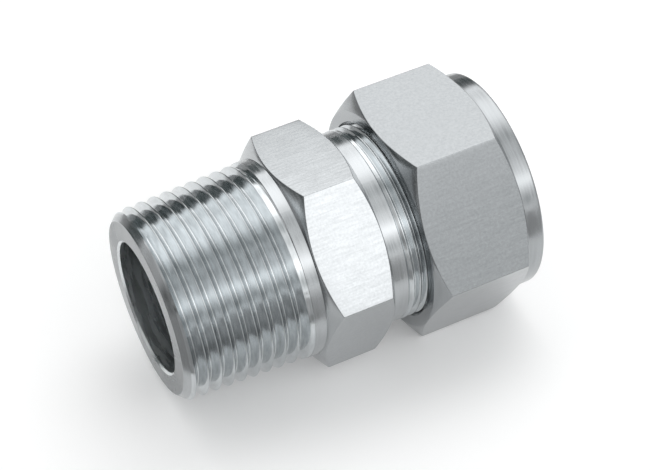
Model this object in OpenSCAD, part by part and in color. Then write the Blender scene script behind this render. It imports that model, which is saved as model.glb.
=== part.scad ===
/* [Pipe thread] */
// Pitch diameter of the taper thread at the end face
pipe_pitch_d = 30.826; // [29:0.001:33]
// Axial distance from one crest of the taper thread to the next
pipe_pitch = 2.2087; // [1.4:0.0001:2.8]
// Growth of the thread's diameter over its length
pipe_taper_share = 0.0625; // [0:0.0005:0.08]
// Angle between the flanks of the thread
thread_angle = 60; // [55:1:70]
// Width of the flat along each crest
pipe_crest_w = 0.16; // [0.05:0.01:0.4]
// Width of the flat along each root
pipe_root_w = 0.2; // [0.05:0.01:0.4]
// Place of the first crest behind the end face, at the side where the turns start
pipe_first_crest = 0.28; // [0:0.01:2]
// Length from the end face to the hexagon
pipe_l = 24; // [20:0.1:30]
// Length of the plain ring between the thread and the hexagon
pipe_ring_l = 2; // [1:0.1:4]
// Diameter of that ring
pipe_ring_d = 34; // [33.9:0.05:34.6]
// Turns over which the last groove runs out
pipe_runout_turns = 0.8; // [0.3:0.1:2]
// Diameter of the flat end face, inside its chamfer
pipe_face_d = 29.7; // [26:0.1:31]

/* [Body] */
// Width of the body's hexagon across its flats
body_hex_af = 34.925; // [34.6:0.005:40]
// Length of the body's hexagon
body_hex_l = 12.2; // [9:0.1:18]
// Diameter of the round face at each end of the hexagon, inside its chamfers
body_hex_face_d = 34.2; // [34:0.1:34.5]
// Turn of the body's hexagon against the nut's
body_hex_turn = -7.4; // [-30:0.1:30]
// Angle of the hexagons' corner chamfers, from the face
hex_chamfer_angle = 30; // [15:1:45]
// Diameter of the smooth neck behind the hexagon
neck_d = 33.2; // [32:0.05:33.3]
// Length of the smooth neck
neck_l = 2.75; // [1:0.05:6]
// Major diameter of the straight thread that takes the nut
tube_thread_d = 33.34; // [32.5:0.01:34]
// Length of the straight thread, up to the body's mouth
tube_thread_l = 11.65; // [9:0.05:16]
// Chamfer at the end of the straight thread
tube_thread_chamfer = 0.8; // [0.2:0.1:1.2]

/* [Bores] */
// Outer diameter of the tube that goes in
tube_d = 25.4; // [24:0.05:26]
// Diameter of the flow bore
flow_d = 22.35; // [12:0.05:23.5]
// Small chamfer at the flow bore's open end
flow_chamfer = 0.35; // [0.1:0.05:1]
// Depth from the nut's end to the shoulder that stops the tube
tube_depth = 31.2; // [28:0.1:40]
// Half angle of the body's mouth, where the front ferrule seats
mouth_angle = 20; // [16:1:28]
// Diameter of the body's mouth
mouth_d = 29.2; // [28.2:0.1:30]

/* [Nut] */
// Width of the nut's hexagon across its flats
nut_hex_af = 38.1; // [37.8:0.01:44]
// Length of the nut's hexagon
nut_hex_l = 17.68; // [16.5:0.01:20]
// Length of the round collar at the nut's end
nut_collar_l = 3.05; // [1:0.05:5]
// Diameter of the collar
nut_collar_d = 37.5; // [34:0.1:37.7]
// Rounding of the collar's outer edge
nut_collar_round = 0.5; // [0.1:0.05:1]
// Rounding of the collar's bore edge
nut_bore_round = 0.4; // [0.1:0.05:0.8]
// Diameter of the round face at the nut's mouth, inside the hexagon's chamfer
nut_face_d = 37.9; // [36.5:0.1:38]
// Diameter of the nut's mouth, outside its bevel
nut_mouth_d = 34.3; // [33.8:0.1:36]
// Length of the threaded hole, from the nut's mouth
nut_thread_l = 11.93; // [11.5:0.01:12.6]
// Length of the tube hole behind the driving shoulder
nut_tube_hole_l = 5.72; // [4.8:0.01:7]

/* [Ferrules] */
// Length of the front ferrule
front_ferrule_l = 6.6; // [5.9:0.1:7]
// Largest diameter of the front ferrule
front_ferrule_d = 29.8; // [29.4:0.05:30]
// Wall of the front ferrule at its nose
front_nose_wall = 0.4; // [0.25:0.05:0.6]
// Diameter of the seat in the front ferrule's back
front_seat_d = 28; // [27.2:0.1:28.6]
// Length of the back ferrule
back_ferrule_l = 4.6; // [4.2:0.05:5]
// Largest diameter of the back ferrule
back_ferrule_d = 29.4; // [28.6:0.05:29.8]
// Wall of the back ferrule at its nose and at its back
back_nose_wall = 0.28; // [0.15:0.01:0.4]
// Length of the back ferrule's thin nose
back_nose_l = 1.7; // [1.3:0.05:2]
// Angle of the back ferrule's nose and back, and of their seats
seat_angle = 45; // [40:1:50]

/* [Clearances] */
// Radial room around the tube in the body
tube_room = 0.05; // [0.02:0.01:0.15]
// Radial room around the tube in the nut
nut_tube_room = 0.25; // [0.18:0.01:0.4]
// Radial room between the nut and the body's thread
thread_room = 0.05; // [0.02:0.01:0.09]
// Radial room around the ferrules in the nut's hollow
hollow_room = 0.4; // [0.2:0.05:0.8]
// Room left between seated faces
seat_room = 0.05; // [0.02:0.01:0.15]

/* [Hidden] */
cut_over = 0.2;
round_fn = 96;
thread_cols = 48;
spare_turns = 2;
hex_sides = 6;

function radius_of_corner(af) = af / 2 / cos(180 / hex_sides);

// Places along the axis, from the pipe end's face
hex_x = pipe_l;
neck_x = hex_x + body_hex_l;
tube_thread_x = neck_x + neck_l;
mouth_x = tube_thread_x + tube_thread_l;
pipe_thread_end_x = pipe_l - pipe_ring_l;

// Radii of the bores
flow_r = flow_d / 2;
socket_r = tube_d / 2 + tube_room;
mouth_r = mouth_d / 2;
tube_hole_r = tube_d / 2 + nut_tube_room;
nut_thread_r = tube_thread_d / 2 + thread_room;
hollow_r = max(front_ferrule_d, back_ferrule_d) / 2 + hollow_room;
socket_end_x = mouth_x - (mouth_r - socket_r) / tan(mouth_angle);

// The front ferrule's nose stops on the cone of the body's mouth
front_nose_r = socket_r + front_nose_wall;
front_r = front_ferrule_d / 2;
front_x = socket_end_x + (front_nose_wall + seat_room / cos(mouth_angle)) / tan(mouth_angle);
front_cone_l = (front_r - front_nose_r) / tan(mouth_angle);
front_end_x = front_x + front_ferrule_l;
front_seat_r = front_seat_d / 2;
front_seat_l = (front_seat_r - socket_r) / tan(seat_angle);

// The back ferrule's nose stops in the seat in the front ferrule's back
back_nose_r = socket_r + back_nose_wall;
back_r = back_ferrule_d / 2;
back_x = front_end_x - (front_seat_r - back_nose_r) / tan(seat_angle) + seat_room / sin(seat_angle);
back_end_x = back_x + back_ferrule_l;
back_cone_l = (back_r - back_nose_r) / tan(seat_angle);
back_nose_end_r = back_nose_r + back_nose_l * tan(seat_angle);

// The nut's driving shoulder stops on the back ferrule
shoulder_x = back_end_x + (back_nose_r - tube_hole_r) / tan(seat_angle) + seat_room / sin(seat_angle);
nut_end_x = shoulder_x + nut_tube_hole_l;
nut_x = nut_end_x - nut_collar_l - nut_hex_l;
nut_thread_end_x = nut_x + nut_thread_l;
hollow_end_x = shoulder_x - (hollow_r - tube_hole_r) / tan(seat_angle);
tube_stop_x = nut_end_x - tube_depth;

// The taper thread's crest and depth, from its pitch diameter and flats
thread_slope = tan(thread_angle / 2);
pipe_crest_r = pipe_pitch_d / 2 + (pipe_pitch / 2 - pipe_crest_w) / 2 / thread_slope;
pipe_depth = (pipe_pitch - pipe_crest_w - pipe_root_w) / 2 / thread_slope;

// Share of the thread's depth at a distance from the middle of a crest
function groove_share(d) =
    d < pipe_crest_w / 2 ? 0 :
    d > (pipe_pitch - pipe_root_w) / 2 ? 1 :
    (d - pipe_crest_w / 2) / (pipe_pitch - pipe_crest_w - pipe_root_w) * 2;

// Share of the groove that is left near the plain ring
function runout_share(x) = max(0, min(1, (pipe_thread_end_x - x) / pipe_pitch / pipe_runout_turns));

// Radius of the taper thread at a place and an angle around the axis
function pipe_r(x, angle) =
    let (turns = (x - pipe_first_crest) / pipe_pitch - angle / 360)
    let (d = abs(turns - round(turns)) * pipe_pitch)
    pipe_crest_r + x * pipe_taper_share / 2 - pipe_depth * groove_share(d) * runout_share(x);

// Lays a shape that is drawn along Z on the X axis, with its X edge down
module along_x(x = 0) {
    translate([x, 0, 0])
        rotate([0, 90, 0])
            children();
}

// Turned solid from points of [place along the axis, radius]
module turned(points) {
    along_x()
        rotate_extrude($fn = round_fn)
            polygon([for (p = points) [p[1], p[0]]]);
}

// Hexagonal bar with its corners turned off from a round face at both ends
module hex_bar(x, af, l, front_face_d, back_face_d) {
    corner_r = radius_of_corner(af);
    reach_r = corner_r + cut_over;
    front_l = (reach_r - front_face_d / 2) * tan(hex_chamfer_angle);
    back_l = (reach_r - back_face_d / 2) * tan(hex_chamfer_angle);
    intersection() {
        along_x(x)
            rotate([0, 0, 180 / hex_sides])
                cylinder(h = l, r = corner_r, $fn = hex_sides);
        turned([
            [x - cut_over, 0],
            [x - cut_over, front_face_d / 2 - cut_over / tan(hex_chamfer_angle)],
            [x + front_l, reach_r],
            [x + l - back_l, reach_r],
            [x + l + cut_over, back_face_d / 2 - cut_over / tan(hex_chamfer_angle)],
            [x + l + cut_over, 0]
        ]);
    }
}

// Solid bar with the taper thread's one helical groove in its outside
module pipe_thread_bar() {
    low_x = -cut_over;
    high_x = pipe_thread_end_x + cut_over;
    first_turn = floor((low_x - pipe_first_crest) / pipe_pitch) - spare_turns;
    last_turn = ceil((high_x - pipe_first_crest) / pipe_pitch) + spare_turns;
    corner_places = [-pipe_crest_w / 2, pipe_crest_w / 2,
        (pipe_pitch - pipe_root_w) / 2, (pipe_pitch + pipe_root_w) / 2];
    corners = len(corner_places);
    rows = (last_turn - first_turn + 1) * corners;
    function place(col, row) = max(low_x, min(high_x, pipe_first_crest
        + pipe_pitch * (first_turn + floor(row / corners) + col / thread_cols)
        + corner_places[row % corners]));
    function index(col, row) = col < thread_cols ? col * rows + row : row + corners;
    points = [
        for (col = [0 : thread_cols - 1])
            for (row = [0 : rows - 1])
                let (x = place(col, row))
                let (angle = 360 * col / thread_cols)
                let (r = pipe_r(x, angle))
                [x, r * cos(angle), r * sin(angle)]
    ];
    sides = [
        for (col = [0 : thread_cols - 1])
            for (row = [0 : rows - 2])
                let (last_row = col == thread_cols - 1 && row + 1 + corners > rows - 1)
                let (here = place(col, row + 1) > place(col, row))
                let (next = place(col + 1, row + 1) > place(col + 1, row))
                let (a = index(col, row))
                let (b = index(col, row + 1))
                let (c = index(col + 1, row + 1))
                let (d = index(col + 1, row))
                each last_row ? [] : concat(here ? [[a, b, d]] : [], next ? [[b, c, d]] : [])
    ];
    low_end = [for (col = [0 : thread_cols - 1]) index(col, 0)];
    high_end = [for (col = [thread_cols - 1 : -1 : 0]) index(col, rows - 1)];
    polyhedron(points = points, faces = concat(sides, [low_end, high_end]));
}

// Cone and face that start the taper thread, as a solid to keep it within
module pipe_start() {
    reach = pipe_ring_d / 2 + cut_over;
    turned([
        [0, 0],
        [0, pipe_face_d / 2],
        [reach - pipe_face_d / 2, reach],
        [pipe_l, reach],
        [pipe_l, 0]
    ]);
}

module connector_body() {
    color("#c8cacb")
    difference() {
        union() {
            intersection() {
                pipe_thread_bar();
                pipe_start();
            }
            turned([
                [pipe_thread_end_x, 0],
                [pipe_thread_end_x, pipe_ring_d / 2],
                [pipe_l + cut_over, pipe_ring_d / 2],
                [pipe_l + cut_over, 0]
            ]);
            rotate([body_hex_turn, 0, 0])
                hex_bar(hex_x, body_hex_af, body_hex_l, body_hex_face_d, body_hex_face_d);
            turned([
                [neck_x - cut_over, 0],
                [neck_x - cut_over, neck_d / 2],
                [tube_thread_x, neck_d / 2],
                [tube_thread_x, tube_thread_d / 2],
                [mouth_x - tube_thread_chamfer, tube_thread_d / 2],
                [mouth_x, tube_thread_d / 2 - tube_thread_chamfer],
                [mouth_x, 0]
            ]);
        }
        turned([
            [-cut_over, 0],
            [-cut_over, flow_r + flow_chamfer + cut_over],
            [flow_chamfer, flow_r],
            [tube_stop_x, flow_r],
            [tube_stop_x, socket_r],
            [socket_end_x, socket_r],
            [mouth_x + cut_over, mouth_r + cut_over * tan(mouth_angle)],
            [mouth_x + cut_over, 0]
        ]);
    }
}

module nut() {
    collar_x = nut_end_x - nut_collar_l;
    bevel_l = nut_mouth_d / 2 - nut_thread_r;
    color("#b9bcbd")
    difference() {
        union() {
            hex_bar(nut_x, nut_hex_af, nut_hex_l, nut_face_d, nut_collar_d);
            difference() {
                turned([
                    [collar_x - cut_over, 0],
                    [collar_x - cut_over, nut_collar_d / 2],
                    [nut_end_x, nut_collar_d / 2],
                    [nut_end_x, 0]
                ]);
                edge_round(nut_end_x, nut_collar_d / 2, nut_collar_round, 1);
            }
        }
        turned([
            [nut_x - cut_over, 0],
            [nut_x - cut_over, nut_mouth_d / 2 + cut_over],
            [nut_x + bevel_l, nut_thread_r],
            [nut_thread_end_x, nut_thread_r],
            [nut_thread_end_x, hollow_r],
            [hollow_end_x, hollow_r],
            [shoulder_x, tube_hole_r],
            [nut_end_x + cut_over, tube_hole_r],
            [nut_end_x + cut_over, 0]
        ]);
        edge_round(nut_end_x, tube_hole_r, nut_bore_round, -1);
    }
}

// Ring that rounds an outer edge (side 1) or a bore's edge (side -1) at a face
module edge_round(x, r, round_r, side) {
    centre_r = r - side * round_r;
    along_x()
        rotate_extrude($fn = round_fn)
            difference() {
                translate([min(centre_r, r + side * cut_over), x - round_r])
                    square([round_r + cut_over, round_r + cut_over]);
                translate([centre_r, x - round_r])
                    circle(r = round_r, $fn = round_fn);
            }
}

module front_ferrule() {
    color("#d0d2d3")
    turned([
        [front_x, socket_r],
        [front_x, front_nose_r],
        [front_x + front_cone_l, front_r],
        [front_end_x, front_r],
        [front_end_x, front_seat_r],
        [front_end_x - front_seat_l, socket_r]
    ]);
}

module back_ferrule() {
    color("#c2c4c5")
    turned([
        [back_x, socket_r],
        [back_x, back_nose_r],
        [back_x + back_nose_l, back_nose_end_r],
        [back_x + back_nose_l, back_r],
        [back_end_x - back_cone_l, back_r],
        [back_end_x, back_nose_r],
        [back_end_x, socket_r]
    ]);
}

connector_body();
nut();
front_ferrule();
back_ferrule();
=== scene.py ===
"""Looks of a straight tube fitting in stainless steel: body, nut and two ferrules.

Every piece is turned from bar, so each mesh is built from rows of points that go around the
piece's outline, one chain of points for each angle about the X axis. The fitting's lengths are
millimetres in the classes. Every mesh, and the studio around the fitting, is in metres.
"""

import logging
import math
from dataclasses import dataclass, field, replace
from enum import Enum
from typing import Callable, Sequence

import bpy
import numpy as np
from mathutils import Matrix, Vector


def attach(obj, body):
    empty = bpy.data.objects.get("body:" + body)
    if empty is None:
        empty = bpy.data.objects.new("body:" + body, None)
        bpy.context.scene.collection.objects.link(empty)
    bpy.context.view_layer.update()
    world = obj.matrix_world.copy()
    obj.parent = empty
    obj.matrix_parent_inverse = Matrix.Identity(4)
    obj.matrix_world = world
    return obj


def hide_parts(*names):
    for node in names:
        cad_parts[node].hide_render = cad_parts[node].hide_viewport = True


logging.basicConfig(level=logging.INFO, format="%(name)s: %(message)s")
log = logging.getLogger("tube_connector")

MM = 0.001
# Noise mostly stays between these, so a pattern is spread from the first to the second
NOISE_SPREAD = (0.3, 0.7)
STREAK_SPREAD = (0.35, 0.65)
# Sockets of the Mix node's colours, by number, because its other kinds share their names
MIX_DARK, MIX_LIGHT, MIX_RESULT = 6, 7, 2
# Keys of one stretch of an outline stay below this, so that the next stretch's are higher
STRETCH_KEY = 1000.0
# Points whose keys are closer than this are joined straight across
SAME_KEY = 0.002
# Points of a thread that are closer than this to its ends are left out, in millimetres
THREAD_END_ROOM = 0.004
# A vector is never divided by less than this
LEAST_LENGTH = 1e-30
# How far the floor lies under the fitting, and the cards over the floor, in metres
FLOOR_GAP = 0.00001
CARD_LIFT = 0.0002

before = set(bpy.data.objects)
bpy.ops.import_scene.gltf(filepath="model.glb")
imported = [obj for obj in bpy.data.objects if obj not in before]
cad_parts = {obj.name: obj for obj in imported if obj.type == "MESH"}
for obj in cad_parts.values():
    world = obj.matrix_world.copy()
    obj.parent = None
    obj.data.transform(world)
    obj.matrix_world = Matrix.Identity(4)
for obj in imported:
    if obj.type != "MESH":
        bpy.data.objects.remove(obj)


def linear(hex_code: str) -> tuple[float, float, float, float]:
    """Turns an sRGB hex colour to linear values.

    Args:
        hex_code: Six hex digits after a hash sign.

    Returns:
        Red, green, blue and an alpha of 1.
    """
    # The numbers are those of the sRGB curve
    parts = [int(hex_code[i : i + 2], 16) / 255 for i in (1, 3, 5)]
    red, green, blue = [p / 12.92 if p <= 0.04045 else ((p + 0.055) / 1.055) ** 2.4 for p in parts]
    return red, green, blue, 1.0


def add_node(
    tree: bpy.types.NodeTree,
    kind: str,
    inputs: dict[str | int, object] | None = None,
    **settings: object,
) -> bpy.types.Node:
    """Adds a node to a tree, with its settings, values and links.

    Args:
        tree: Node tree that gets the node.
        kind: Blender's name for the kind of node.
        inputs: Value or source socket for each input, by name or number.
        **settings: Properties of the node itself.

    Returns:
        The new node.
    """
    node = tree.nodes.new(kind)
    for key, value in settings.items():
        setattr(node, key, value)
    for key, value in (inputs or {}).items():
        if isinstance(value, bpy.types.NodeSocket):
            tree.links.new(value, node.inputs[key])
        else:
            node.inputs[key].default_value = value
    return node


def start_material(name: str) -> tuple[bpy.types.Material, bpy.types.NodeTree]:
    """Makes an empty node material.

    Args:
        name: The material's name.

    Returns:
        The material and its cleared node tree.
    """
    material = bpy.data.materials.new(name)
    material.use_nodes = True
    material.node_tree.nodes.clear()
    return material, material.node_tree


def shaded_colour(
    tree: bpy.types.NodeTree, pattern: bpy.types.NodeSocket, colour: str, swing: float
) -> bpy.types.NodeSocket:
    """Adds a colour that a pattern makes a little darker and lighter.

    Args:
        tree: The material's node tree.
        pattern: Values around a half.
        colour: The colour in the middle, as sRGB hex.
        swing: Share by which the colour falls and rises.

    Returns:
        The colour's socket.
    """
    middle = linear(colour)[:3]
    dark, light = ((*(c * share for c in middle), 1.0) for share in (1 - swing, 1 + swing))
    low, high = NOISE_SPREAD
    share = add_node(
        tree, "ShaderNodeMapRange", {"Value": pattern, "From Min": low, "From Max": high}
    )
    mixed = add_node(
        tree,
        "ShaderNodeMix",
        {"Factor": share.outputs[0], MIX_DARK: dark, MIX_LIGHT: light},
        data_type="RGBA",
    )
    return mixed.outputs[MIX_RESULT]


class Surface(Enum):
    """How a stretch of a piece's outline was made."""

    TURNED = "turned"
    THREADED = "threaded"
    DRAWN = "drawn"
    BORED = "bored"
    FACED = "faced"


@dataclass(frozen=True)
class TurnedSteel:
    """Stainless steel turned on a lathe: rings around the axis spread its gloss lengthwise."""

    name: str
    colour: str
    roughness: float
    roughness_swing: float
    anisotropy: float
    ring_mm: float
    ring_depth_mm: float
    streak_mm: float
    streak_length_mm: float
    streak_depth_mm: float
    shade_swing: float
    ring_wander: float = 0.004

    def material(self) -> bpy.types.Material:
        """Builds the node material.

        Returns:
            The material, with turning marks that follow both the length and the radius.
        """
        material, tree = start_material(self.name)
        place = add_node(tree, "ShaderNodeTexCoord")
        xyz = add_node(tree, "ShaderNodeSeparateXYZ", {0: place.outputs["Object"]})
        y, z = xyz.outputs["Y"], xyz.outputs["Z"]
        flat = add_node(tree, "ShaderNodeCombineXYZ", {"Y": y, "Z": z})
        radius = add_node(tree, "ShaderNodeVectorMath", {0: flat.outputs[0]}, operation="LENGTH")
        # A little of the place around the axis keeps the rings from being perfect circles
        wander = add_node(
            tree, "ShaderNodeMath", {0: z, 1: self.ring_wander}, operation="MULTIPLY"
        )
        section = add_node(
            tree,
            "ShaderNodeCombineXYZ",
            {"X": xyz.outputs["X"], "Y": radius.outputs["Value"], "Z": wander.outputs[0]},
        )
        rings = add_node(
            tree,
            "ShaderNodeTexNoise",
            {"Vector": section.outputs[0], "Scale": 1 / (self.ring_mm * MM), "Detail": 2.0},
        )
        across, along = 1 / (self.streak_mm * MM), 1 / (self.streak_length_mm * MM)
        stretched = add_node(
            tree,
            "ShaderNodeMapping",
            {"Vector": place.outputs["Object"], "Scale": (across, along, along)},
        )
        streaks = add_node(
            tree,
            "ShaderNodeTexNoise",
            {"Vector": stretched.outputs[0], "Scale": 1.0, "Detail": 3.0},
        )
        rough = add_node(
            tree,
            "ShaderNodeMapRange",
            {
                "Value": streaks.outputs["Fac"],
                "From Min": STREAK_SPREAD[0],
                "From Max": STREAK_SPREAD[1],
                "To Min": self.roughness - self.roughness_swing,
                "To Max": self.roughness + self.roughness_swing,
            },
        )
        shade = shaded_colour(tree, streaks.outputs["Fac"], self.colour, self.shade_swing)
        streak_bump = add_node(
            tree,
            "ShaderNodeBump",
            {"Height": streaks.outputs["Fac"], "Distance": self.streak_depth_mm * MM},
        )
        ring_bump = add_node(
            tree,
            "ShaderNodeBump",
            {
                "Height": rings.outputs["Fac"],
                "Distance": self.ring_depth_mm * MM,
                "Normal": streak_bump.outputs[0],
            },
        )
        around = add_node(tree, "ShaderNodeTangent", direction_type="RADIAL", axis="X")
        shader = add_node(
            tree,
            "ShaderNodeBsdfPrincipled",
            {
                "Base Color": shade,
                "Metallic": 1.0,
                "Roughness": rough.outputs[0],
                "Anisotropic": self.anisotropy,
                "Normal": ring_bump.outputs[0],
                "Tangent": around.outputs[0],
            },
        )
        add_node(tree, "ShaderNodeOutputMaterial", {"Surface": shader.outputs[0]})
        return material


@dataclass(frozen=True)
class DrawnSteel:
    """Cold-drawn stainless bar: satin flats with a fine grain and faint lines along the bar."""

    name: str
    colour: str
    roughness: float
    roughness_swing: float
    grain_mm: float
    grain_depth_mm: float
    line_mm: float
    line_length_mm: float
    line_depth_mm: float
    shade_swing: float

    def material(self) -> bpy.types.Material:
        """Builds the node material.

        Returns:
            The material, with its grain drawn out along the X axis.
        """
        material, tree = start_material(self.name)
        place = add_node(tree, "ShaderNodeTexCoord")
        grain = add_node(
            tree,
            "ShaderNodeTexNoise",
            {"Vector": place.outputs["Object"], "Scale": 1 / (self.grain_mm * MM), "Detail": 3.0},
        )
        along, across = 1 / (self.line_length_mm * MM), 1 / (self.line_mm * MM)
        drawn = add_node(
            tree,
            "ShaderNodeMapping",
            {"Vector": place.outputs["Object"], "Scale": (along, across, across)},
        )
        lines = add_node(
            tree, "ShaderNodeTexNoise", {"Vector": drawn.outputs[0], "Scale": 1.0, "Detail": 2.0}
        )
        rough = add_node(
            tree,
            "ShaderNodeMapRange",
            {
                "Value": lines.outputs["Fac"],
                "From Min": NOISE_SPREAD[0],
                "From Max": NOISE_SPREAD[1],
                "To Min": self.roughness - self.roughness_swing,
                "To Max": self.roughness + self.roughness_swing,
            },
        )
        shade = shaded_colour(tree, grain.outputs["Fac"], self.colour, self.shade_swing)
        line_bump = add_node(
            tree,
            "ShaderNodeBump",
            {"Height": lines.outputs["Fac"], "Distance": self.line_depth_mm * MM},
        )
        grain_bump = add_node(
            tree,
            "ShaderNodeBump",
            {
                "Height": grain.outputs["Fac"],
                "Distance": self.grain_depth_mm * MM,
                "Normal": line_bump.outputs[0],
            },
        )
        shader = add_node(
            tree,
            "ShaderNodeBsdfPrincipled",
            {
                "Base Color": shade,
                "Metallic": 1.0,
                "Roughness": rough.outputs[0],
                "Normal": grain_bump.outputs[0],
            },
        )
        add_node(tree, "ShaderNodeOutputMaterial", {"Surface": shader.outputs[0]})
        return material


# Rings from the cutting tool on necks, collars and cones: bright bands with crisp ends. Real
# rings are about 0.1 mm apart, too fine for the render, so all rings here are drawn coarser
TURNED_FINISH = TurnedSteel(
    name="stainless_steel_fine_turned",
    colour="#A5A8AA",
    roughness=0.2,
    roughness_swing=0.05,
    anisotropy=0.5,
    ring_mm=0.3,
    ring_depth_mm=0.0025,
    streak_mm=0.5,
    streak_length_mm=7.0,
    streak_depth_mm=0.003,
    shade_swing=0.08,
)
# Flanks cut by a threading tool: torn streaks along the turns that break the light up. They
# too are drawn wider than the real ones
THREAD_FINISH = TurnedSteel(
    name="stainless_steel_cut_thread_painted_lighter",
    # Lighter than the turned and drawn steel: painted light, which makes up for the light lost
    # between the flanks
    colour="#C8CCCE",
    roughness=0.14,
    roughness_swing=0.05,
    anisotropy=0.3,
    ring_mm=0.22,
    ring_depth_mm=0.001,
    streak_mm=0.35,
    streak_length_mm=3.0,
    streak_depth_mm=0.0013,
    shade_swing=0.13,
)
# Drawn bar left as it came: a soft satin sheen and a mottled grain, drawn coarser than the
# real one, which the render would lose
FLAT_FINISH = DrawnSteel(
    name="stainless_steel_cold_drawn",
    colour="#A5A8AA",
    roughness=0.22,
    roughness_swing=0.04,
    grain_mm=0.4,
    grain_depth_mm=0.003,
    line_mm=0.3,
    line_length_mm=4.0,
    line_depth_mm=0.0015,
    shade_swing=0.06,
)
# Drilled and reamed holes, which see light only through their own ends; their lighter colour is
# painted light that makes up for the dim inside
BORE_FINISH = TurnedSteel(
    name="stainless_steel_reamed_bore_painted_lighter",
    colour="#D6DADB",
    roughness=0.28,
    roughness_swing=0.05,
    anisotropy=0.3,
    ring_mm=0.4,
    ring_depth_mm=0.0008,
    streak_mm=0.8,
    streak_length_mm=6.0,
    streak_depth_mm=0.0008,
    shade_swing=0.08,
)
# The body's steel is a little lighter than the nut's: painted light, for the extra light that the
# body's faces catch
BODY_TURNED_PAINTED_LIGHT = replace(TURNED_FINISH, name="stainless_steel_turned_painted_lighter", colour="#B3B6B8")
BODY_FLAT_PAINTED_LIGHT = replace(FLAT_FINISH, name="stainless_steel_drawn_painted_lighter", colour="#B3B6B8")
# The end is faced off across the bar, and its coarser feed leaves it rougher. Its darker colour is
# painted shade, which dims the floor that the end face mirrors
FACED_FINISH_PAINTED_SHADE = replace(
    TURNED_FINISH, name="stainless_steel_faced_off_painted_shade", colour="#898C8E", roughness=0.26
)
COMMON_FINISHES = {
    Surface.THREADED: THREAD_FINISH,
    Surface.BORED: BORE_FINISH,
    Surface.FACED: FACED_FINISH_PAINTED_SHADE,
}
FINISHES = {
    "body_steel": {
        Surface.TURNED: BODY_TURNED_PAINTED_LIGHT,
        Surface.DRAWN: BODY_FLAT_PAINTED_LIGHT,
        **COMMON_FINISHES,
    },
    "nut_steel": {Surface.TURNED: TURNED_FINISH, Surface.DRAWN: FLAT_FINISH, **COMMON_FINISHES},
    "ferrule_steel": {Surface.TURNED: TURNED_FINISH},
}


@dataclass(frozen=True)
class Hexagon:
    """Outline of a hexagonal bar about the X axis, with its corners slightly rounded."""

    across_flats: float
    corner_round: float
    turn_deg: float = 0.0
    # Places of the extra columns at a corner, as shares of its rounding's half width
    corner_shares: tuple[float, ...] = (-1.0, -0.34, 0.34, 1.0)
    # Even columns closer to a corner than this many half widths are left out
    corner_room: float = 2.5

    def radius(self, angle: np.ndarray) -> np.ndarray:
        """Radius of the outline at some angles.

        Args:
            angle: Angles about X from +Y, in radians.

        Returns:
            Radii in millimetres.
        """
        sixth = math.pi / 3
        from_flat = angle - math.radians(self.turn_deg) - math.pi / 2
        off_flat = (from_flat + sixth / 2) % sixth - sixth / 2
        half = self.across_flats / 2
        flat_r = half / np.cos(off_flat)
        centre = (half - self.corner_round) / math.cos(sixth / 2)
        off_corner = sixth / 2 - np.abs(off_flat)
        inside = np.maximum(self.corner_round**2 - (centre * np.sin(off_corner)) ** 2, 0.0)
        round_r = centre * np.cos(off_corner) + np.sqrt(inside)
        return np.where(off_corner < self.round_angle(), round_r, flat_r)

    def round_angle(self) -> float:
        """Angle from a corner to where its rounding meets the flat, in radians."""
        half = self.across_flats / 2
        return math.pi / 6 - math.atan((half - self.corner_round) * math.tan(math.pi / 6) / half)

    def columns(self, count: int) -> np.ndarray:
        """Angles for a piece's columns of points, closer together at the corners.

        Args:
            count: Number of even columns before the corners get theirs.

        Returns:
            Rising angles in radians.
        """
        start = math.radians(self.turn_deg)
        even = start + 2 * math.pi * np.arange(count) / count
        corners = start + math.pi / 3 * np.arange(6)
        reach = self.round_angle()
        apart = (even[:, None] - corners[None, :] + math.pi) % (2 * math.pi) - math.pi
        near = np.abs(apart).min(axis=1)
        extra = [corners + share * reach for share in self.corner_shares]
        return np.sort(np.concatenate([even[near > self.corner_room * reach], *extra]))


def whole_turn(
    pitch: float, half: tuple[tuple[float, float], ...]
) -> tuple[tuple[float, float], ...]:
    """Completes a thread's section, which is the same on both sides of a crest.

    Args:
        pitch: The thread's pitch.
        half: Distances from the crest's middle with their depths, from the crest's edge on.

    Returns:
        Distances and depths of one whole turn.
    """
    edge, edge_depth = half[0]
    back = ((pitch - distance, depth) for distance, depth in reversed(half[1:]))
    return ((-edge, edge_depth), *half, *back)


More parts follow.
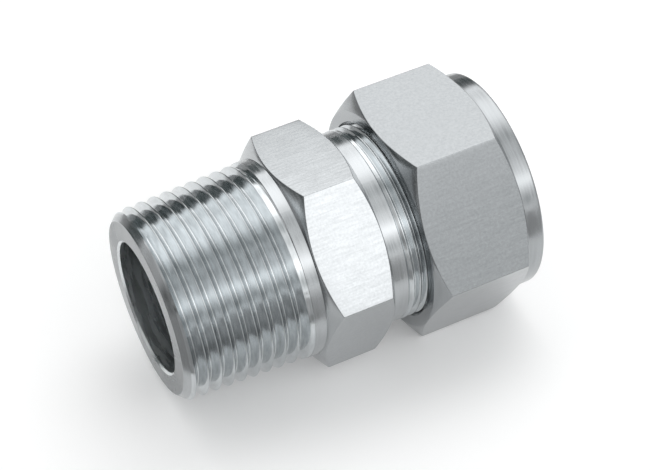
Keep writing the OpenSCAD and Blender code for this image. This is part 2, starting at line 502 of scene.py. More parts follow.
@dataclass(frozen=True)
class Helix:
    """Right-hand thread: radius against the distance behind the middle of a crest."""

    pitch: float
    first_crest: float
    steps: tuple[tuple[float, float], ...]

    def chain(
        self,
        angle: float,
        low_x: float,
        high_x: float,
        radius: Callable[[float, float], float],
        limit: Callable[[float], float],
        sign: int = 1,
    ) -> list[tuple[float, float]]:
        """Points of the thread along one column.

        Args:
            angle: The column's angle in radians.
            low_x: Where the thread starts.
            high_x: Where the thread ends.
            radius: Radius at a place along X for a depth.
            limit: Radius of the form that cuts the thread off at a place along X.
            sign: 1 where the limit cuts an outer thread, and -1 in a hole.

        Returns:
            Points of place and radius, from the low end to the high end.
        """
        first = self.first_crest + self.pitch * angle / (2 * math.pi)
        start = math.floor((low_x - first) / self.pitch) - 1
        stop = math.ceil((high_x - first) / self.pitch) + 1
        raw = [
            (first + self.pitch * turn + offset, depth)
            for turn in range(start, stop + 1)
            for offset, depth in self.steps
        ]
        raw = self.clip(raw, low_x, high_x)
        points = [(x, radius(x, depth)) for x, depth in raw]
        over = [sign * (r - limit(x)) for x, r in points]
        out = []
        for i, (x, r) in enumerate(points):
            if i and over[i - 1] * over[i] < 0:
                share = over[i - 1] / (over[i - 1] - over[i])
                cross = points[i - 1][0] + share * (x - points[i - 1][0])
                out.append((cross, limit(cross)))
            out.append((x, limit(x) if over[i] > 0 else r))
        return out

    @staticmethod
    def clip(
        raw: Sequence[tuple[float, float]], low_x: float, high_x: float
    ) -> list[tuple[float, float]]:
        """Keeps the points between two places, with new points at both ends.

        Args:
            raw: Rising points of place and depth.
            low_x: The lower end.
            high_x: The upper end.

        Returns:
            The clipped points.
        """
        places = [p[0] for p in raw]
        depths = [p[1] for p in raw]
        inner = [p for p in raw if low_x + THREAD_END_ROOM < p[0] < high_x - THREAD_END_ROOM]
        ends = [float(np.interp(x, places, depths)) for x in (low_x, high_x)]
        return [(low_x, ends[0]), *inner, (high_x, ends[1])]


@dataclass
class Outline:
    """A piece's mesh: for each column a chain of points around the outline, joined to the next."""

    angles: np.ndarray
    chains: list[list[tuple[float, float, float, int]]] = field(init=False)
    surfaces: list[Surface] = field(default_factory=list)
    pitches: dict[int, float] = field(default_factory=dict)

    def __post_init__(self) -> None:
        """Starts an empty chain for each column."""
        self.chains = [[] for _ in self.angles]

    def row(self, x: float | np.ndarray, r: float | np.ndarray, surface: Surface) -> None:
        """Adds one ring of points, and says how the stretch up to it was made.

        Args:
            x: Place along X, one for all columns or one for each.
            r: Radius, one for all columns or one for each.
            surface: How the stretch from the last row to this one was made.
        """
        xs = np.broadcast_to(x, self.angles.shape)
        rs = np.broadcast_to(r, self.angles.shape)
        step = len(self.surfaces)
        self.surfaces.append(surface)
        for chain, px, pr in zip(self.chains, xs, rs):
            chain.append((float(px), float(pr), 0.0, step))

    def rows(self, points: Sequence[tuple[float, float]], surface: Surface) -> None:
        """Adds several rings with the same finish.

        Args:
            points: Places and radii of the rings.
            surface: How the stretch was made.
        """
        for x, r in points:
            self.row(x, r, surface)

    def thread(
        self, chain_at: Callable[[float], list[tuple[float, float]]], pitch: float, back: bool
    ) -> None:
        """Adds a threaded stretch, whose number of points may differ from column to column.

        Args:
            chain_at: Gives the points at an angle, from the low end to the high end.
            pitch: The thread's pitch.
            back: True where the outline goes towards the low end.
        """
        step = len(self.surfaces)
        self.surfaces.append(Surface.THREADED)
        self.pitches[step] = -pitch if back else pitch
        for chain, angle in zip(self.chains, self.angles):
            points = chain_at(float(angle))
            for x, r in reversed(points) if back else points:
                chain.append((x, r, -x if back else x, step))

    def keys(self, column: int, turns: int) -> list[float]:
        """Rising numbers that match the points of neighbouring columns.

        Args:
            column: The column's number.
            turns: Whole turns to add to its angle.

        Returns:
            One key for each point of the chain.
        """
        share = self.angles[column] / (2 * math.pi) + turns
        return [
            STRETCH_KEY * step + key - self.pitches.get(step, 0.0) * share
            for _, _, key, step in self.chains[column]
        ]

    def strip(
        self, column: int, starts: Sequence[int]
    ) -> tuple[list[tuple[int, ...]], list[int]]:
        """Joins a column to the one behind it, all the way around the outline.

        Args:
            column: The column's number.
            starts: Number of each column's first point.

        Returns:
            Point numbers of each face, and the number of the stretch that it is on.
        """
        after = (column + 1) % len(self.chains)
        a_keys = self.keys(column, 0)
        b_keys = self.keys(after, 1 if after == 0 else 0)
        a_chain, b_chain = self.chains[column], self.chains[after]
        faces, steps = [], []
        a, b = 0, 0
        while a < len(a_chain) - 1 or b < len(b_chain) - 1:
            a_next = a_keys[a + 1] if a + 1 < len(a_keys) else math.inf
            b_next = b_keys[b + 1] if b + 1 < len(b_keys) else math.inf
            low_a, low_b = starts[column] + a, starts[after] + b
            if abs(a_next - b_next) < SAME_KEY:
                faces.append((low_a, low_b, low_b + 1, low_a + 1))
                steps.append(a_chain[a + 1][3])
                a, b = a + 1, b + 1
            elif a_next < b_next:
                faces.append((low_a, low_b, low_a + 1))
                steps.append(a_chain[a + 1][3])
                a += 1
            else:
                faces.append((low_a, low_b, low_b + 1))
                steps.append(b_chain[b + 1][3])
                b += 1
        last_a, last_b = starts[column] + len(a_chain) - 1, starts[after] + len(b_chain) - 1
        faces.append((last_a, last_b, starts[after], starts[column]))
        steps.append(0)
        return faces, steps

    def mesh(self, name: str, slot: str, smooth_deg: float = 40.0) -> bpy.types.Object:
        """Joins the columns to a closed mesh object.

        Args:
            name: The piece's name.
            slot: The piece's material slot.
            smooth_deg: Edges that turn more than this stay sharp.

        Returns:
            The object, with weighted normals.
        """
        starts, points = [], []
        for angle, chain in zip(self.angles, self.chains):
            starts.append(len(points))
            y, z = math.cos(angle), math.sin(angle)
            points += [(x * MM, r * y * MM, r * z * MM) for x, r, _, _ in chain]
        faces, steps = [], []
        for column in range(len(self.chains)):
            column_faces, column_steps = self.strip(column, starts)
            faces += column_faces
            steps += column_steps
        used = sorted(set(self.surfaces), key=lambda s: s.value)
        kinds = [used.index(self.surfaces[step]) for step in steps]
        data = bpy.data.meshes.new(name)
        data.from_pydata(points, [], faces)
        data.polygons.foreach_set("material_index", kinds)
        data.shade_smooth()
        data.normals_split_custom_set(corner_normals(np.array(points), faces, smooth_deg))
        for surface in used:
            data.materials.append(material_for(slot, surface))
        piece = bpy.data.objects.new(name, data)
        bpy.context.scene.collection.objects.link(piece)
        return piece


def corner_normals(
    points: np.ndarray, faces: Sequence[tuple[int, ...]], smooth_deg: float
) -> np.ndarray:
    """Normals of the faces' corners, so that broad faces stay flat and narrow edge breaks bend.

    Args:
        points: Places of the mesh's points.
        faces: Point numbers of each face.
        smooth_deg: Faces that turn more than this against each other aren't averaged.

    Returns:
        One unit normal for each corner, in the order of the faces.
    """
    ends = np.array([(f[0], f[1], f[2], f[-1]) for f in faces])
    first, second, third, last = (points[ends[:, i]] for i in range(4))
    crosses = np.cross(third - first, last - second)
    triangle = ends[:, 2] == ends[:, 3]
    crosses[triangle] = np.cross(second - first, third - first)[triangle]
    areas = np.linalg.norm(crosses, axis=1)
    units = crosses / np.maximum(areas, LEAST_LENGTH)[:, None]
    face_of = np.repeat(np.arange(len(faces)), [len(f) for f in faces])
    point_of = np.concatenate([np.array(f) for f in faces])
    order = np.argsort(point_of, kind="stable")
    sorted_points, sorted_faces = point_of[order], face_of[order]
    sums = crosses[sorted_faces].copy()
    least = math.cos(math.radians(smooth_deg))
    for shift in range(1, int(np.bincount(point_of).max())):
        same = sorted_points[shift:] == sorted_points[:-shift]
        low, high = sorted_faces[:-shift], sorted_faces[shift:]
        near = same & ((units[low] * units[high]).sum(axis=1) > least)
        sums[:-shift] += np.where(near[:, None], crosses[high], 0.0)
        sums[shift:] += np.where(near[:, None], crosses[low], 0.0)
    sums /= np.maximum(np.linalg.norm(sums, axis=1), LEAST_LENGTH)[:, None]
    corners = np.empty_like(sums)
    corners[order] = sums
    return corners


_materials: dict[str, bpy.types.Material] = {}


def material_for(slot: str, surface: Surface) -> bpy.types.Material:
    """The material of a kind of surface on a piece, made once.

    Args:
        slot: The piece's material slot.
        surface: How the surface was made.

    Returns:
        Its material.
    """
    finish = FINISHES[slot][surface]
    if finish.name not in _materials:
        _materials[finish.name] = finish.material()
    return _materials[finish.name]


@dataclass
class HexSizes:
    """Lengths of a hexagon with its corners turned off from a round face at both ends."""

    x: float
    length: float
    shape: Hexagon
    front_face_r: float
    back_face_r: float
    chamfer_deg: float = 30.0
    edge_break: float = 0.07

    def add_to(self, outline: Outline) -> None:
        """Adds the hexagon's rows, from its front face's rim to its back face's rim.

        Args:
            outline: The piece's outline.
        """
        slope = math.tan(math.radians(self.chamfer_deg))
        corner = self.shape.radius(outline.angles)
        end = self.x + self.length
        front_x = self.x + (corner - self.front_face_r) * slope
        back_x = end - (corner - self.back_face_r) * slope
        low_r = corner - self.edge_break
        outline.row(self.x, self.front_face_r - self.edge_break, Surface.TURNED)
        rim_r = self.front_face_r + self.edge_break
        outline.row(self.x + self.edge_break * slope, rim_r, Surface.TURNED)
        for r in ((low_r + self.front_face_r) / 2, low_r):
            outline.row(self.x + (r - self.front_face_r) * slope, r, Surface.TURNED)
        outline.row(front_x + self.edge_break, corner, Surface.DRAWN)
        for share in (0.25, 0.5, 0.75):
            outline.row(front_x + (back_x - front_x) * share, corner, Surface.DRAWN)
        outline.row(back_x - self.edge_break, corner, Surface.DRAWN)
        for r in (low_r, (low_r + self.back_face_r) / 2):
            outline.row(end - (r - self.back_face_r) * slope, r, Surface.TURNED)
        outline.row(end, self.back_face_r, Surface.TURNED)


def arc(
    x: float, r: float, size: float, start_deg: float, end_deg: float, steps: int
) -> list[tuple[float, float]]:
    """Points of a small round around a centre in the outline's plane.

    Args:
        x: The centre's place along X.
        r: The centre's radius from the axis.
        size: The round's own radius.
        start_deg: Angle of the first point, from +X towards the outside.
        end_deg: Angle of the last point.
        steps: Number of stretches between them.

    Returns:
        Places and radii.
    """
    turns = np.radians(np.linspace(start_deg, end_deg, steps + 1))
    return [(float(x + size * np.cos(t)), float(r + size * np.sin(t))) for t in turns]


@dataclass
class ConnectorBody:
    """The one-piece body: pipe thread, ring, hexagon, neck, straight thread and its bores."""

    body: str = "body"
    node: str = "connector_body"
    slot: str = "body_steel"
    columns: int = 240
    pipe_pitch: float = 2.2087
    pipe_crest_r: float = 16.2313
    pipe_depth: float = 1.6011
    pipe_growth_share: float = 0.03125
    pipe_first_crest: float = 0.28
    pipe_face_r: float = 14.85
    pipe_cone_x: float = 1.0
    pipe_lead: float = 0.9
    pipe_end_x: float = 22.0
    runout_turns: float = 0.8
    ring_r: float = 17.0
    hexagon: HexSizes = field(
        default_factory=lambda: HexSizes(24.0, 12.2, Hexagon(34.925, 0.16, -7.4), 17.1, 17.1)
    )
    neck_r: float = 16.6
    tube_thread_x: float = 38.95
    tube_thread_r: float = 16.67
    tube_pitch: float = 1.27
    tube_thread_depth: float = 0.74
    tube_first_crest: float = 1.07
    tube_runout_turns: float = 0.6
    mouth_x: float = 50.6
    mouth_chamfer: float = 0.8
    mouth_r: float = 14.6
    socket_end_x: float = 45.517
    socket_r: float = 12.75
    tube_stop_x: float = 31.734
    flow_r: float = 11.175
    flow_chamfer: float = 0.35
    # Small lengths: a broken edge, and how far rows stay from a thread's end or from a corner
    edge: float = 0.05
    seam: float = 0.04
    margin: float = 0.6
    neck_round: float = 0.12
    neck_margin: float = 0.7
    mouth_edge: float = 0.06
    stop_chamfer: tuple[float, float] = (0.3, 0.2)

    def pipe_thread(self) -> Helix:
        """Profile of the pipe thread, with its crests and roots slightly rounded.

        Returns:
            The thread.
        """
        deep = self.pipe_depth
        half = ((0.03, 0.0), (0.09, 0.03), (0.97, deep - 0.05), (1.04, deep))
        return Helix(self.pipe_pitch, self.pipe_first_crest, whole_turn(self.pipe_pitch, half))

    def tube_thread(self) -> Helix:
        """Profile of the straight thread that takes the nut.

        Returns:
            The thread.
        """
        deep = self.tube_thread_depth
        half = ((0.05, 0.0), (0.1, 0.025), (0.52, deep - 0.04), (0.58, deep))
        return Helix(self.tube_pitch, self.tube_first_crest, whole_turn(self.tube_pitch, half))

    def pipe_radius(self, x: float, depth: float) -> float:
        """Radius of the pipe thread, whose groove deepens behind the cone and runs out at the ring.

        Args:
            x: Place along X.
            depth: Depth under the crest where the groove is full.

        Returns:
            The radius.
        """
        left = (self.pipe_end_x - x) / self.pipe_pitch / self.runout_turns
        begun = (x - self.pipe_cone_x) / self.pipe_lead
        share = max(0.0, min(1.0, left, begun))
        return self.pipe_crest_r + x * self.pipe_growth_share - depth * share

    def tube_radius(self, x: float, depth: float) -> float:
        """Radius of the straight thread, whose groove runs out at the neck.

        Args:
            x: Place along X.
            depth: Depth under the crest where the groove is full.

        Returns:
            The radius.
        """
        begun = (x - self.tube_thread_x) / self.tube_pitch / self.tube_runout_turns
        return self.tube_thread_r - depth * max(0.0, min(1.0, begun))

    def pipe_chain(self, angle: float) -> list[tuple[float, float]]:
        """Points of the pipe thread at an angle, cut off by the cone at its end.

        Args:
            angle: The column's angle in radians.

        Returns:
            Places and radii from the cone to the plain ring.
        """
        low_x, high_x = self.pipe_cone_x, self.pipe_end_x
        return self.pipe_thread().chain(
            angle, low_x, high_x, self.pipe_radius, lambda x: self.pipe_face_r + x
        )

    def tube_chain(self, angle: float) -> list[tuple[float, float]]:
        """Points of the straight thread at an angle, cut off by its end chamfer.

        Args:
            angle: The column's angle in radians.

        Returns:
            Places and radii from the neck to the body's mouth.
        """
        low_x, high_x = self.tube_thread_x, self.mouth_x
        end_r = self.tube_thread_r - self.mouth_chamfer
        return self.tube_thread().chain(
            angle, low_x, high_x, self.tube_radius, lambda x: end_r + high_x - x
        )

    def build(self) -> bpy.types.Object:
        """Builds the body and puts it on its CAD body.

        Returns:
            The dressed piece.
        """
        outline = Outline(self.hexagon.shape.columns(self.columns))
        outline.row(0.0, self.flow_r + self.flow_chamfer, Surface.BORED)
        outline.row(0.0, self.pipe_face_r - self.edge, Surface.FACED)
        for x in (self.edge, self.pipe_cone_x - self.seam):
            outline.row(x, self.pipe_face_r + x, Surface.TURNED)
        outline.thread(self.pipe_chain, self.pipe_pitch, back=False)
        start, end = self.pipe_end_x, self.hexagon.x
        ring = (start + self.edge, start + self.margin, end - self.margin, end - self.seam)
        outline.rows([(x, self.ring_r) for x in ring], Surface.TURNED)
        self.hexagon.add_to(outline)
        start, end = self.hexagon.x + self.hexagon.length, self.tube_thread_x
        size = self.neck_round
        outline.rows(arc(start + size, self.neck_r + size, size, 180, 270, 3), Surface.TURNED)
        neck = (start + self.neck_margin, end - self.margin, end - self.seam)
        outline.rows([(x, self.neck_r) for x in neck], Surface.TURNED)
        outline.thread(self.tube_chain, self.tube_pitch, back=False)
        rim = (self.tube_thread_r - self.mouth_chamfer - self.mouth_edge, self.mouth_r)
        outline.rows([(self.mouth_x, r) for r in rim], Surface.TURNED)
        chamfer_length, chamfer_height = self.stop_chamfer
        outline.rows(
            [
                (self.socket_end_x, self.socket_r),
                (self.tube_stop_x + chamfer_length, self.socket_r),
                (self.tube_stop_x, self.socket_r - chamfer_height),
                (self.tube_stop_x, self.flow_r),
                (self.flow_chamfer, self.flow_r),
            ],
            Surface.BORED,
        )
        piece = outline.mesh("body_turned_from_bar", self.slot)
        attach(piece, self.body)
        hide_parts(self.node)
        return piece


@dataclass
class Nut:
    """The compression nut: hexagon with a large front chamfer, round collar and its inside."""

    body: str = "nut"
    node: str = "nut"
    slot: str = "nut_steel"
    columns: int = 240
    hexagon: HexSizes = field(
        default_factory=lambda: HexSizes(42.204, 17.68, Hexagon(38.099, 0.2), 18.95, 18.75)
    )
    mouth_r: float = 17.15
    end_x: float = 62.933
    collar_r: float = 18.75
    collar_round: float = 0.5
    bore_round: float = 0.4
    tube_hole_r: float = 12.95
    shoulder_x: float = 57.214
    hollow_end_x: float = 54.864
    hollow_r: float = 15.3
    thread_end_x: float = 54.134
    thread_root_r: float = 16.72
    thread_height: float = 0.67
    pitch: float = 1.27
    first_ridge: float = 1.635
    runout_turns: float = 0.7
    # Small lengths: how far the collar stays inside its solid, how far its rows are from its
    # ends, and the broken edges of the hollow and the mouth
    collar_step: float = 0.02
    collar_rows: tuple[float, float, float] = (0.08, 0.8, 0.6)
    hollow_edge: float = 0.06
    hollow_seam: float = 0.02
    mouth_edge: float = 0.05
    mouth_rim: float = 0.04

    def thread(self) -> Helix:
        """Profile of the inside thread, whose ridges lie in the body's grooves.

        Returns:
            The thread.
        """
        high = self.thread_height
        half = ((0.08, high), (0.13, high - 0.04), (0.5, 0.03), (0.54, 0.0))
        return Helix(self.pitch, self.first_ridge, whole_turn(self.pitch, half))

    def thread_start(self) -> float:
        """Place along X where the thread's root meets the mouth's bevel."""
        return self.hexagon.x + self.mouth_r - self.thread_root_r

    def thread_radius(self, x: float, height: float) -> float:
        """Radius of the inside thread, which fades out at both of its ends.

        Args:
            x: Place along X.
            height: Height over the root where the ridge is full.

        Returns:
            The radius.
        """
        low = (x - self.thread_start()) / self.pitch / self.runout_turns
        high = (self.thread_end_x - x) / self.pitch / self.runout_turns
        return self.thread_root_r - height * max(0.0, min(1.0, low, high))

    def thread_chain(self, angle: float) -> list[tuple[float, float]]:
        """Points of the inside thread at an angle.

        Args:
            angle: The column's angle in radians.

        Returns:
            Places and radii from the mouth to the hollow.
        """
        low_x, high_x = self.thread_start(), self.thread_end_x
        return self.thread().chain(
            angle, low_x, high_x, self.thread_radius, lambda x: 0.0, sign=-1
        )

    def build(self) -> bpy.types.Object:
        """Builds the nut and puts it on its CAD body.

        Returns:
            The dressed piece.
        """
        outline = Outline(self.hexagon.shape.columns(self.columns))
        self.hexagon.add_to(outline)
        back_x, round_x = self.hexagon.x + self.hexagon.length, self.end_x - self.collar_round
        near_back, far_back, near_round = self.collar_rows
        collar = self.collar_r - self.collar_step
        collar_x = (back_x + near_back, back_x + far_back, round_x - near_round)
        outline.rows([(x, collar) for x in collar_x], Surface.TURNED)
        size = self.collar_round
        outline.rows(arc(round_x, collar - size, size, 90, 0, 5), Surface.TURNED)
        size = self.bore_round
        mouth = arc(self.end_x - size, self.tube_hole_r + size, size, 0, -90, 4)
        outline.rows(mouth, Surface.TURNED)
        outline.rows(
            [
                (self.shoulder_x, self.tube_hole_r),
                (self.hollow_end_x, self.hollow_r),
                (self.thread_end_x + self.hollow_edge, self.hollow_r),
                (self.thread_end_x + self.hollow_seam, self.hollow_r + self.hollow_edge),
            ],
            Surface.BORED,
        )
        outline.thread(self.thread_chain, self.pitch, back=True)
        front_x, edge = self.hexagon.x, self.mouth_edge
        outline.row(front_x + edge, self.mouth_r - edge, Surface.TURNED)
        outline.row(front_x, self.mouth_r + self.mouth_rim, Surface.TURNED)
        piece = outline.mesh("nut_turned_from_bar", self.slot)
        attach(piece, self.body)
        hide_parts(self.node)
        return piece


@dataclass
class Ferrule:
    """A turned ring with a cone, its corners slightly broken."""

    name: str
    node: str
    outside: tuple[tuple[float, float], ...]
    inside: tuple[tuple[float, float], ...]
    body: str = "ferrules"
    slot: str = "ferrule_steel"
    columns: int = 180
    edge: float = 0.05
    edge_share: float = 0.3

    def softened(self) -> list[tuple[float, float]]:
        """Replaces each corner of the section by two points close beside it.

        Returns:
            The section's points with broken corners.
        """
        corners = [Vector(p) for p in (*self.outside, *self.inside)]
        out = []
        for i, corner in enumerate(corners):
            for other in (corners[i - 1], corners[(i + 1) % len(corners)]):
                way = other - corner
                size = min(self.edge, way.length * self.edge_share)
                out.append(tuple(corner + way.normalized() * size))
        return out

    def build(self) -> bpy.types.Object:
        """Builds the ferrule and puts it on its CAD body.

        Returns:
            The dressed piece.
        """
        outline = Outline(2 * math.pi * np.arange(self.columns) / self.columns)
        outline.rows(self.softened(), Surface.TURNED)
        piece = outline.mesh(self.name, self.slot)
        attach(piece, self.body)
        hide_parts(self.node)
        return piece


def rectangle(
    left: float, front: float, right: float, back: float
) -> tuple[tuple[float, float], ...]:
    """Corners of a rectangle on the floor.

    Args:
        left: Lowest X.
        front: Lowest Y.
        right: Highest X.
        back: Highest Y.

    Returns:
        The four corners.
    """
    return ((left, front), (right, front), (right, back), (left, back))


@dataclass(frozen=True)
class GroundLine:
    """The floor seen from the side: its height at X zero, in metres, and its slope along X."""

    height: float
    slope: float

    def at(self, x: float) -> float:
        """Height of the floor at a place along X."""
        return self.height - FLOOR_GAP + self.slope * x


@dataclass(frozen=True)
class Card:
    """A card that lies on the floor outside the picture and shows only in the metal."""

    name: str
    colour: str
    outline: tuple[tuple[float, float], ...]

    def build(self, ground: GroundLine) -> None:
        """Lays the card just above the floor.

        Args:
            ground: The line that the floor follows.
        """
        corners = [(x, y, ground.at(x) + CARD_LIFT) for x, y in self.outline]
        data = bpy.data.meshes.new(self.name)
        data.from_pydata(corners, [], [tuple(range(len(corners)))])
        material, tree = start_material(self.name + "_paper")
        shader = add_node(tree, "ShaderNodeBsdfDiffuse", {"Color": linear(self.colour)})
        add_node(tree, "ShaderNodeOutputMaterial", {"Surface": shader.outputs[0]})
        data.materials.append(material)
        card = bpy.data.objects.new(self.name, data)
        card.visible_camera = card.visible_diffuse = card.visible_shadow = False
        bpy.context.scene.collection.objects.link(card)


@dataclass(frozen=True)
class LightBand:
    """A stretch of the tent: levels by angle about the X axis, and shares of them to its ends."""

    levels: tuple[tuple[float, float], ...]
    ends: tuple[tuple[float, float], ...]


@dataclass(frozen=True)
class LightTent:
    """Half dome of lit cloth around the fitting: a front strip, an overhead box and a dim back."""

    radius: float = 2.0
    centre_x: float = 0.032
    columns: int = 48
    rows: int = 12
    skirt_deg: float = 3.0
    top_level: float = 2.6
    bands: tuple[LightBand, ...] = (
        LightBand(
            levels=(
                (0, 1.5),
                (7.5, 0.83),
                (12.5, 0.67),
                (17.5, 1.15),
                (22.5, 1.47),
                (27.5, 2.28),
                (32.5, 2.46),
                (37.5, 1.76),
                (42.5, 1.36),
                (47.5, 1.37),
                (52.5, 1.18),
                (57.5, 0.84),
                (69.9, 1.16),
                (70.1, 0.0),
            ),
            ends=((-70, 0.15), (-35, 0.3), (-8, 0.56), (18, 1.0), (43, 0.83), (72, 0.39)),
        ),
        LightBand(
            levels=(
                (69.9, 0.0),
                (70.1, 0.85),
                (77.5, 0.65),
                (82.5, 0.69),
                (92.5, 1.44),
                (102.5, 2.01),
                (125, 1.98),
                (132.5, 1.62),
                (142.5, 1.55),
                (147.5, 1.99),
                (149.9, 1.99),
                (150.1, 0.0),
            ),
            ends=((-70, 0.29), (-35, 0.43), (-8, 0.63), (18, 1.0), (43, 0.88), (72, 0.4)),
        ),
        LightBand(
            levels=(
                (149.9, 0.0),
                (150.1, 1.9),
                (153.5, 1.5),
                (156, 0.08),
                (172, 0.17),
                (180, 0.05),
            ),
            ends=((-70, 0.83), (-35, 0.76), (-8, 0.67), (18, 1.0), (43, 0.8)),
        ),
    )
    # Level that the white of the ramps to the ends stands for, as top_level is for the others
    top_share: float = 1.5
    brightness: float = 1.06
    cool_below: float = 0.35
    cool_tint: tuple[float, float, float] = (0.78, 0.99, 1.0)

    def ramp(
        self,
        tree: bpy.types.NodeTree,
        angle: bpy.types.NodeSocket,
        low: float,
        stops: Sequence[tuple[float, float]],
        scale: float,
        tinted: bool,
    ) -> bpy.types.NodeSocket:
        """Adds a ramp of light levels over half a turn.

        Args:
            tree: The cloth's node tree.
            angle: Angle in radians.
            low: Lowest angle in degrees.
            stops: Angles in degrees with their levels.
            scale: Level that the ramp's white stands for.
            tinted: True where dim levels are cooler.

        Returns:
            The ramp's socket.
        """
        start, end = math.radians(low), math.radians(low + 180)
        share = add_node(
            tree, "ShaderNodeMapRange", {"Value": angle, "From Min": start, "From Max": end}
        )
        ramp = add_node(tree, "ShaderNodeValToRGB", {"Fac": share.outputs[0]})
        elements = ramp.color_ramp.elements
        while len(elements) < len(stops):
            elements.new(0.5)
        for element, (degrees, _) in zip(elements, stops):
            element.position = (degrees - low) / 180
        for element, (_, level) in zip(elements, stops):
            shares = self.tint(level) if tinted else (1.0, 1.0, 1.0)
            element.color = (*(level / scale * share for share in shares), 1.0)
        return ramp.outputs["Color"]

    def tint(self, level: float) -> tuple[float, float, float]:
        """Colour of the cloth at a level: dim cloth is a little cooler than lit cloth.

        Args:
            level: The light's level.

        Returns:
            Shares of red, green and blue.
        """
        dim = math.exp(-level / self.cool_below)
        red, green, blue = (1 - (1 - share) * dim for share in self.cool_tint)
        return red, green, blue

    def cloth(self) -> bpy.types.Material:
        """Builds the glow of the cloth, which follows the direction from the fitting.

        Returns:
            The material.
        """
        material, tree = start_material("lit_tent_cloth")
        material.cycles.emission_sampling = "NONE"
        place = add_node(tree, "ShaderNodeTexCoord")
        way = add_node(
            tree, "ShaderNodeVectorMath", {0: place.outputs["Object"]}, operation="NORMALIZE"
        )
        xyz = add_node(tree, "ShaderNodeSeparateXYZ", {0: way.outputs[0]})
        x, y, z = xyz.outputs
        front = add_node(tree, "ShaderNodeMath", {0: y, 1: -1.0}, operation="MULTIPLY")
        rise = add_node(tree, "ShaderNodeMath", {0: z, 1: front.outputs[0]}, operation="ARCTAN2")
        side = add_node(tree, "ShaderNodeMath", {0: x}, operation="ARCSINE")
        total = None
        for band in self.bands:
            level = self.ramp(tree, rise.outputs[0], 0.0, band.levels, self.top_level, True)
            share = self.ramp(tree, side.outputs[0], -90.0, band.ends, self.top_share, False)
            glow = add_node(
                tree, "ShaderNodeVectorMath", {0: level, 1: share}, operation="MULTIPLY"
            )
            if total is None:
                total = glow
            else:
                total = add_node(
                    tree,
                    "ShaderNodeVectorMath",
                    {0: total.outputs[0], 1: glow.outputs[0]},
                    operation="ADD",
                )
        strength = self.top_level * self.top_share * self.brightness
        light = add_node(
            tree, "ShaderNodeEmission", {"Color": total.outputs[0], "Strength": strength}
        )
        add_node(tree, "ShaderNodeOutputMaterial", {"Surface": light.outputs[0]})
        return material

    def build(self) -> None:
        """Sets up the dome, which lights the fitting but stays out of the picture."""
        points, faces = [], []
        for row in range(self.rows):
            rise = math.radians(-self.skirt_deg + (90 + self.skirt_deg) * row / self.rows)
            flat, height = self.radius * math.cos(rise), self.radius * math.sin(rise)
            for column in range(self.columns):
                turn = 2 * math.pi * column / self.columns
                points.append((flat * math.cos(turn), flat * math.sin(turn), height))
        points.append((0.0, 0.0, self.radius))
        for row in range(self.rows):
            low, high = row * self.columns, (row + 1) * self.columns
            for column in range(self.columns):
                after = (column + 1) % self.columns
                if row + 1 < self.rows:
                    faces.append((low + column, low + after, high + after, high + column))
                else:
                    faces.append((low + column, low + after, len(points) - 1))
        data = bpy.data.meshes.new("light_tent")
        data.from_pydata(points, [], faces)
        data.materials.append(self.cloth())
        tent = bpy.data.objects.new("light_tent", data)
        tent.location = (self.centre_x, 0.0, 0.0)
        tent.visible_camera = False
        bpy.context.scene.collection.objects.link(tent)


def plain_world() -> None:
    """Makes the world plain white."""
    world = bpy.data.worlds.new("white_surroundings")
    world.use_nodes = True
    tree = world.node_tree
    tree.nodes.clear()
    white = add_node(tree, "ShaderNodeBackground", {"Color": linear("#FFFFFF"), "Strength": 1.0})
    add_node(tree, "ShaderNodeOutputWorld", {"Surface": white.outputs[0]})
    bpy.context.scene.world = world


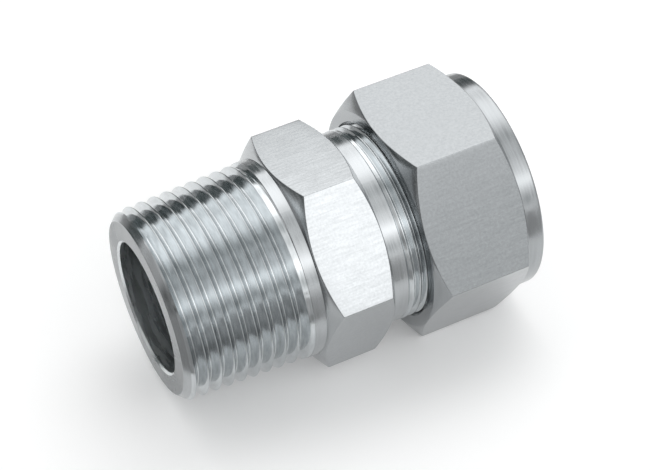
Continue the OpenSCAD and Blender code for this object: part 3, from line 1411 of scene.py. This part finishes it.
@dataclass
class Studio:
    """Pale floor, soft room light, cards and the camera."""

    floor_side: float = 6.0
    floor_colour: str = "#FBFBFB"
    floor_lift: float = 0.15
    cards: tuple[Card, ...] = (
        Card("card_behind", "#A5A5A5", rectangle(-2, 0.12, 2, 2)),
        Card(
            "card_beside_the_end",
            "#A0A0A0",
            ((-0.055, -0.0535), (0.062, -0.0535), (-0.055, 0.0006)),
        ),
        Card("card_in_front", "#B8B8B8", rectangle(-0.055, -0.2, 0.115, -0.0535)),
        Card("card_on_the_left", "#A5A5A5", rectangle(-0.2, -0.2, -0.055, 0.12)),
        Card("card_far_left", "#B5B5B5", rectangle(-2, -2, -0.2, 0.12)),
        Card("card_on_the_right", "#C0C0C0", rectangle(0.115, -2, 2, 0.12)),
    )
    camera_place_mm: tuple[float, float, float] = (-63.29, -220.07, 225.24)
    camera_right: tuple[float, float, float] = (0.89399, -0.44463, -0.05559)
    camera_up: tuple[float, float, float] = (0.34083, 0.59422, 0.72852)
    camera_back: tuple[float, float, float] = (-0.29089, -0.67023, 0.68277)
    focal_share: float = 3.0720
    sensor_mm: float = 36.0
    clip: tuple[float, float] = (0.01, 100.0)

    def resting_line(self, pieces: Sequence[bpy.types.Object]) -> GroundLine:
        """Finds the line that the fitting rests on, seen from the side.

        Args:
            pieces: The shown pieces.

        Returns:
            The floor's line.
        """
        places = [np.array([v.co for v in p.data.vertices]) for p in pieces]
        points = np.concatenate(places)[:, [0, 2]]
        points = points[np.lexsort((points[:, 1], points[:, 0]))]
        hull: list[np.ndarray] = []
        for p in points:
            while len(hull) > 1 and float(np.cross(hull[-1] - hull[-2], p - hull[-2])) <= 0:
                hull.pop()
            hull.append(p)
        middle = float(points[:, 0].mean())
        low, high = next((a, b) for a, b in zip(hull, hull[1:]) if a[0] <= middle <= b[0])
        slope = (high[1] - low[1]) / (high[0] - low[0])
        return GroundLine(float(low[1] - slope * low[0]), float(slope))

    def build_floor(self, ground: GroundLine) -> None:
        """Lays the floor under the fitting, tangent to where it rests.

        Args:
            ground: The line that it follows.
        """
        half = self.floor_side / 2
        corners = [(x, y, ground.at(x)) for x, y in rectangle(-half, -half, half, half)]
        data = bpy.data.meshes.new("floor")
        data.from_pydata(corners, [], [(0, 1, 2, 3)])
        material, tree = start_material("painted_board_pale")
        paint = add_node(tree, "ShaderNodeBsdfDiffuse", {"Color": linear(self.floor_colour)})
        lift = add_node(
            tree,
            "ShaderNodeEmission",
            {"Color": linear("#FFFFFF"), "Strength": self.floor_lift},
        )
        lifted = add_node(tree, "ShaderNodeAddShader", {0: paint.outputs[0], 1: lift.outputs[0]})
        path = add_node(tree, "ShaderNodeLightPath")
        direct = add_node(
            tree,
            "ShaderNodeMath",
            {0: path.outputs["Is Camera Ray"], 1: path.outputs["Is Glossy Ray"]},
            operation="MAXIMUM",
        )
        seen = add_node(
            tree,
            "ShaderNodeMath",
            {0: direct.outputs[0], 1: path.outputs["Is Transmission Ray"]},
            operation="MAXIMUM",
        )
        shader = add_node(
            tree,
            "ShaderNodeMixShader",
            {0: seen.outputs[0], 1: paint.outputs[0], 2: lifted.outputs[0]},
        )
        add_node(tree, "ShaderNodeOutputMaterial", {"Surface": shader.outputs[0]})
        data.materials.append(material)
        floor = bpy.data.objects.new("floor", data)
        bpy.context.scene.collection.objects.link(floor)

    def build_camera(self) -> None:
        """Sets the camera where the photograph was taken from."""
        data = bpy.data.cameras.new("camera")
        data.sensor_width = self.sensor_mm
        data.lens = data.sensor_width * self.focal_share
        data.clip_start, data.clip_end = self.clip
        camera = bpy.data.objects.new("camera", data)
        bpy.context.scene.collection.objects.link(camera)
        turn = Matrix((self.camera_right, self.camera_up, self.camera_back)).transposed().to_4x4()
        camera.matrix_world = Matrix.Translation(Vector(self.camera_place_mm) * MM) @ turn
        bpy.context.scene.camera = camera

    def build(self, pieces: Sequence[bpy.types.Object]) -> None:
        """Builds floor, cards, room light and camera.

        Args:
            pieces: The shown pieces.
        """
        ground = self.resting_line(pieces)
        slope_deg = math.degrees(math.atan(ground.slope))
        log.info("floor height %.3f mm, slope %.2f deg", ground.height / MM, slope_deg)
        self.build_floor(ground)
        for card in self.cards:
            card.build(ground)
        LightTent().build()
        plain_world()
        self.build_camera()
        bpy.context.scene.view_settings.view_transform = "Standard"


def main() -> None:
    """Builds the pieces and the studio."""
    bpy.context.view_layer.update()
    makers = [
        ConnectorBody(),
        Nut(),
        Ferrule(
            name="front_ferrule_turned",
            node="front_ferrule",
            outside=((46.762, 13.15), (51.707, 14.9), (53.362, 14.9)),
            inside=((53.362, 14.0), (52.112, 12.75), (46.762, 12.75)),
        ),
        Ferrule(
            name="back_ferrule_turned",
            node="back_ferrule",
            outside=((52.463, 13.03), (54.163, 14.7), (55.393, 14.7), (57.063, 13.03)),
            inside=((57.063, 12.75), (52.463, 12.75)),
        ),
    ]
    pieces = []
    for maker in makers:
        piece = maker.build()
        log.info("%s: %d faces", piece.name, len(piece.data.polygons))
        pieces.append(piece)
    Studio().build(pieces)


if __name__ == "__main__":
    main()
